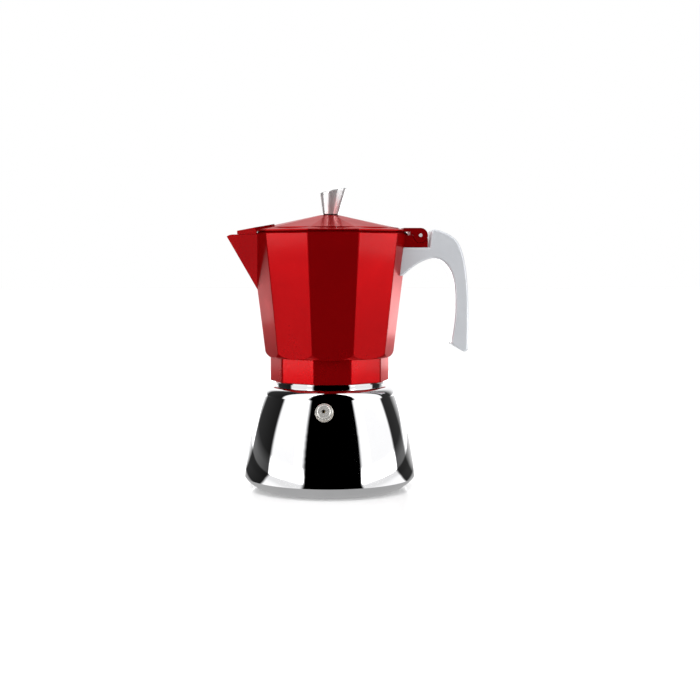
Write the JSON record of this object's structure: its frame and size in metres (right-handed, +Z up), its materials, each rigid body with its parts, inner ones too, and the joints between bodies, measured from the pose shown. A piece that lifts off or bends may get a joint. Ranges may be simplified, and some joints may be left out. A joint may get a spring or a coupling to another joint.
{
  "type": "moka pot",
  "caption": "Stove-top moka pot with a round steel boiler, a ten-sided red collector, hinged lid, spout, curved handle and safety valve.",
  "frame": {"origin": "centre of the flat base, on the stove surface", "axes": "+Z up along the pot's axis, +X towards the handle, -X towards the spout, -Y towards the safety valve's side"},
  "size_m": [0.1665, 0.1178, 0.2079],
  "materials": {
    "polished_steel": "mirror polished stainless steel",
    "spreader_aluminium": "turned",
    "valve_seal": "matt fibre washer",
    "valve_nickel": "bright nickel plate",
    "valve_brass": "turned brass",
    "spring_steel": "drawn wire",
    "funnel_aluminium": "pressed, satin",
    "gasket_silicone": "matt silicone",
    "filter_steel": "satin",
    "red_lacquer": "glossy translucent red lacquer over cast aluminium",
    "column_aluminium": "as cast, satin",
    "pin_steel": "ground pin",
    "handle_silver": "satin silver paint",
    "screw_steel": "zinc plated",
    "knob_seal": "matt",
    "knob_silver": "polished"
  },
  "bodies": {
    "boiler": {"boiler_shell": "polished_steel", "heat_spreader": "spreader_aluminium", "valve_washer": "valve_seal", "valve_body": "valve_nickel", "valve_cap": "valve_nickel", "valve_nut": "valve_brass", "valve_spring": "spring_steel"},
    "poppet": {"valve_poppet": "valve_brass"},
    "funnel": {"funnel_basket": "funnel_aluminium", "funnel_plate": "funnel_aluminium", "funnel_stem": "funnel_aluminium"},
    "filter": {"gasket": "gasket_silicone", "filter_plate": "filter_steel"},
    "upper": {"collector": "red_lacquer", "riser_column": "column_aluminium", "column_cap": "column_aluminium", "hinge_pin": "pin_steel", "handle": "handle_silver", "handle_washer": "screw_steel", "handle_screw": "screw_steel"},
    "lid": {"lid": "red_lacquer", "knob_washer": "knob_seal", "knob": "knob_silver", "knob_screw": "screw_steel"}
  },
  "joints": [
    {"name": "collector_lift", "type": "slide", "parent": "boiler", "child": "filter", "axis": [0, 0, 1], "range_m": [0, 0.16]},
    {"name": "collector_turn", "type": "hinge", "parent": "filter", "child": "upper", "pos_m": [0, 0, 0.088], "axis": [0, 0, 1], "range_deg": [0, 540]},
    {"name": "funnel_lift", "type": "slide", "parent": "boiler", "child": "funnel", "axis": [0, 0, 1], "range_m": [0, 0.08]},
    {"name": "lid_hinge", "type": "hinge", "parent": "upper", "child": "lid", "pos_m": [0.06212, 0, 0.17465], "axis": [0, 1, 0], "range_deg": [0, 105]},
    {"name": "valve_lift", "type": "slide", "parent": "boiler", "child": "poppet", "axis": [-0.1165, -0.9492, 0.2924], "range_m": [0, 0.001], "stiffness_N_per_m": 400, "springref_m": -0.004, "deforming": ["valve_spring"]}
  ],
  "couplings": [
    {"joint": "funnel_lift", "follows": "collector_lift", "ratio": 0.5}
  ]
}
